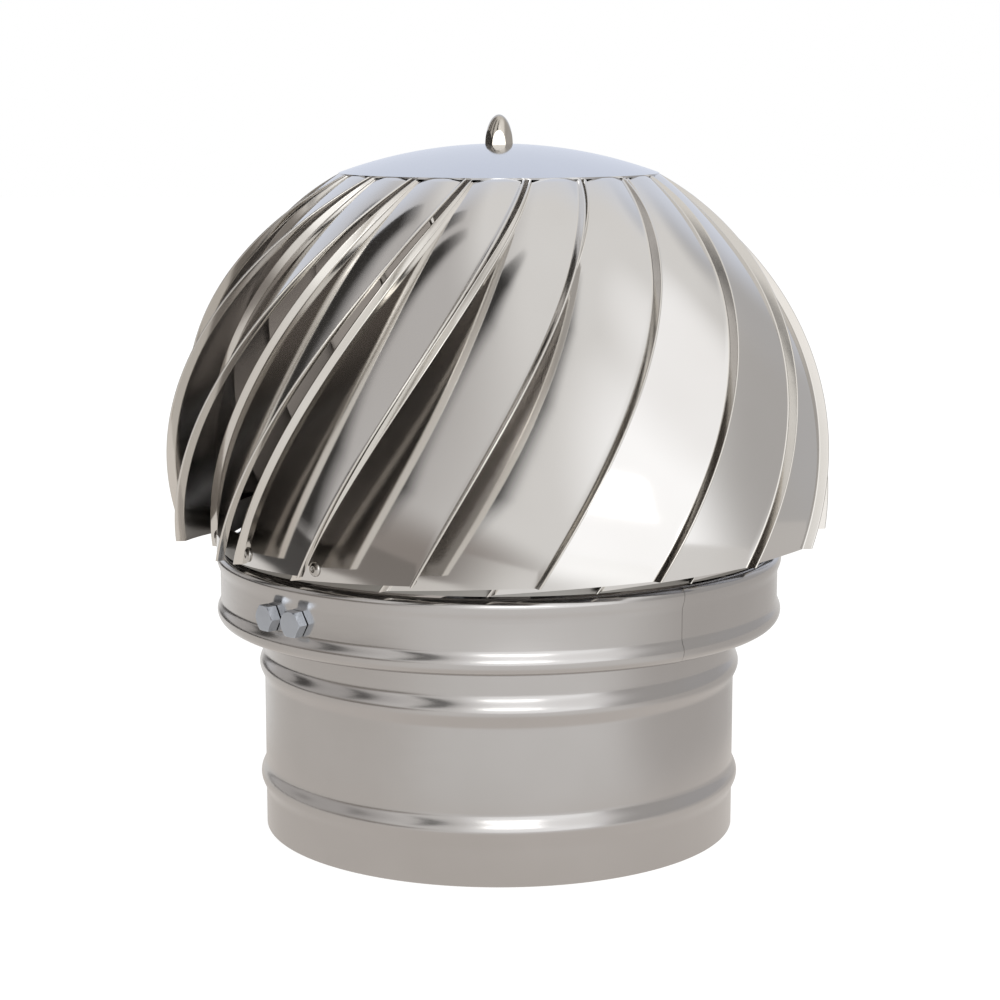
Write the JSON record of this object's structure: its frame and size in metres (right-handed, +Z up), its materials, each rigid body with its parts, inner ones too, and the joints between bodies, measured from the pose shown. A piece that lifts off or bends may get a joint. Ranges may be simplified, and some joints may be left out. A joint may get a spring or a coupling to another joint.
{
  "type": "rotating chimney cowl",
  "caption": "Rotating chimney cowl: a ball of twisted, hemmed steel vanes under a dished crown turns on a bearing spindle above a beaded round flue spigot.",
  "frame": {"origin": "centre of the spigot's lower edge, on the axis that the head turns about", "axes": "+Z up along the turning axis, -Y towards the side that the picture shows"},
  "size_m": [0.28, 0.278, 0.2996],
  "materials": {
    "flue_steel": "satin",
    "vane_steel": "mirror polished",
    "crown_steel": "mirror polished",
    "ring_steel": "satin",
    "bolt_steel": "zinc plated",
    "acorn_steel": "polished",
    "turned_steel": "turned",
    "bearing_steel": "ground",
    "cage_brass": "pressed",
    "rivet_steel": "bright"
  },
  "bodies": {
    "base": {"spigot": "flue_steel", "collar": "flue_steel", "bridge_bar": "ring_steel", "collar_bolts": "bolt_steel", "collar_nuts": "bolt_steel", "bearing_housing": "turned_steel", "housing_screws": "bolt_steel", "housing_nuts": "bolt_steel", "lower_bearing_outer": "bearing_steel", "upper_bearing_outer": "bearing_steel", "lower_circlip": "bolt_steel", "upper_circlip": "bolt_steel"},
    "rotor": {"spindle": "turned_steel", "lower_bearing_inner": "bearing_steel", "upper_bearing_inner": "bearing_steel", "bearing_spacer": "turned_steel", "spindle_washer": "bolt_steel", "spindle_nut": "bolt_steel", "crown": "crown_steel", "crown_washer": "bolt_steel", "crown_nut": "acorn_steel", "top_ring": "ring_steel", "lower_ring": "ring_steel", "ring_rivets": "rivet_steel", "vane_01": "vane_steel", "vane_02": "vane_steel", "vane_03": "vane_steel", "vane_04": "vane_steel", "vane_05": "vane_steel", "vane_06": "vane_steel", "vane_07": "vane_steel", "vane_08": "vane_steel", "vane_09": "vane_steel", "vane_10": "vane_steel", "vane_11": "vane_steel", "vane_12": "vane_steel", "vane_13": "vane_steel", "vane_14": "vane_steel", "vane_15": "vane_steel", "vane_16": "vane_steel", "vane_17": "vane_steel", "vane_18": "vane_steel"},
    "lower_ball_set": {"lower_bearing_balls": "bearing_steel", "lower_bearing_cage": "cage_brass"},
    "upper_ball_set": {"upper_bearing_balls": "bearing_steel", "upper_bearing_cage": "cage_brass"}
  },
  "joints": [
    {"name": "rotor_spin", "type": "hinge", "parent": "base", "child": "rotor", "pos_m": [0, 0, 0], "axis": [0, 0, 1], "continuous": true},
    {"name": "lower_ball_spin", "type": "hinge", "parent": "base", "child": "lower_ball_set", "pos_m": [0, 0, 0], "axis": [0, 0, 1], "continuous": true},
    {"name": "upper_ball_spin", "type": "hinge", "parent": "base", "child": "upper_ball_set", "pos_m": [0, 0, 0], "axis": [0, 0, 1], "continuous": true}
  ],
  "couplings": [
    {"joint": "lower_ball_spin", "follows": "rotor_spin", "ratio": 0.368},
    {"joint": "upper_ball_spin", "follows": "rotor_spin", "ratio": 0.368}
  ]
}
